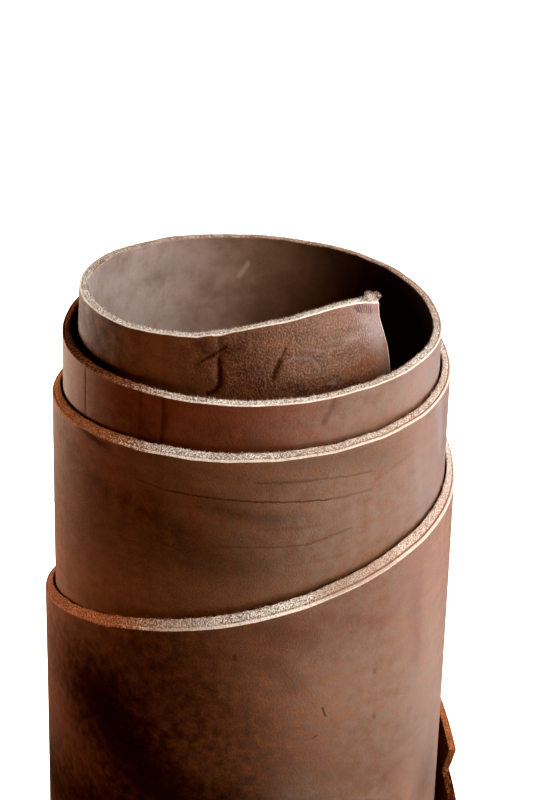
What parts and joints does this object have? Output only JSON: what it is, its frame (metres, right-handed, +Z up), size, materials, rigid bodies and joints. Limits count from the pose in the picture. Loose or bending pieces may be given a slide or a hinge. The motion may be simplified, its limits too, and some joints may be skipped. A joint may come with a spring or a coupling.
{
  "type": "rolled leather side",
  "caption": "Brown vegetable tanned leather side rolled into a loose spiral, grain side out, standing on its straight lower edge with an open core.",
  "frame": {"origin": "centre of the bounding box at the lower edge, where the roll stands", "axes": "+Z up along the roll, from the lower edge to the stepped upper edge; -Y towards the front, where the inner free end shows in the core"},
  "size_m": [0.1919, 0.1876, 0.72],
  "materials": {
    "leather": "smooth brown grain, napped flesh side, pale cut edges"
  },
  "bodies": {
    "root": {"leather_side": "leather"}
  },
  "joints": []
}
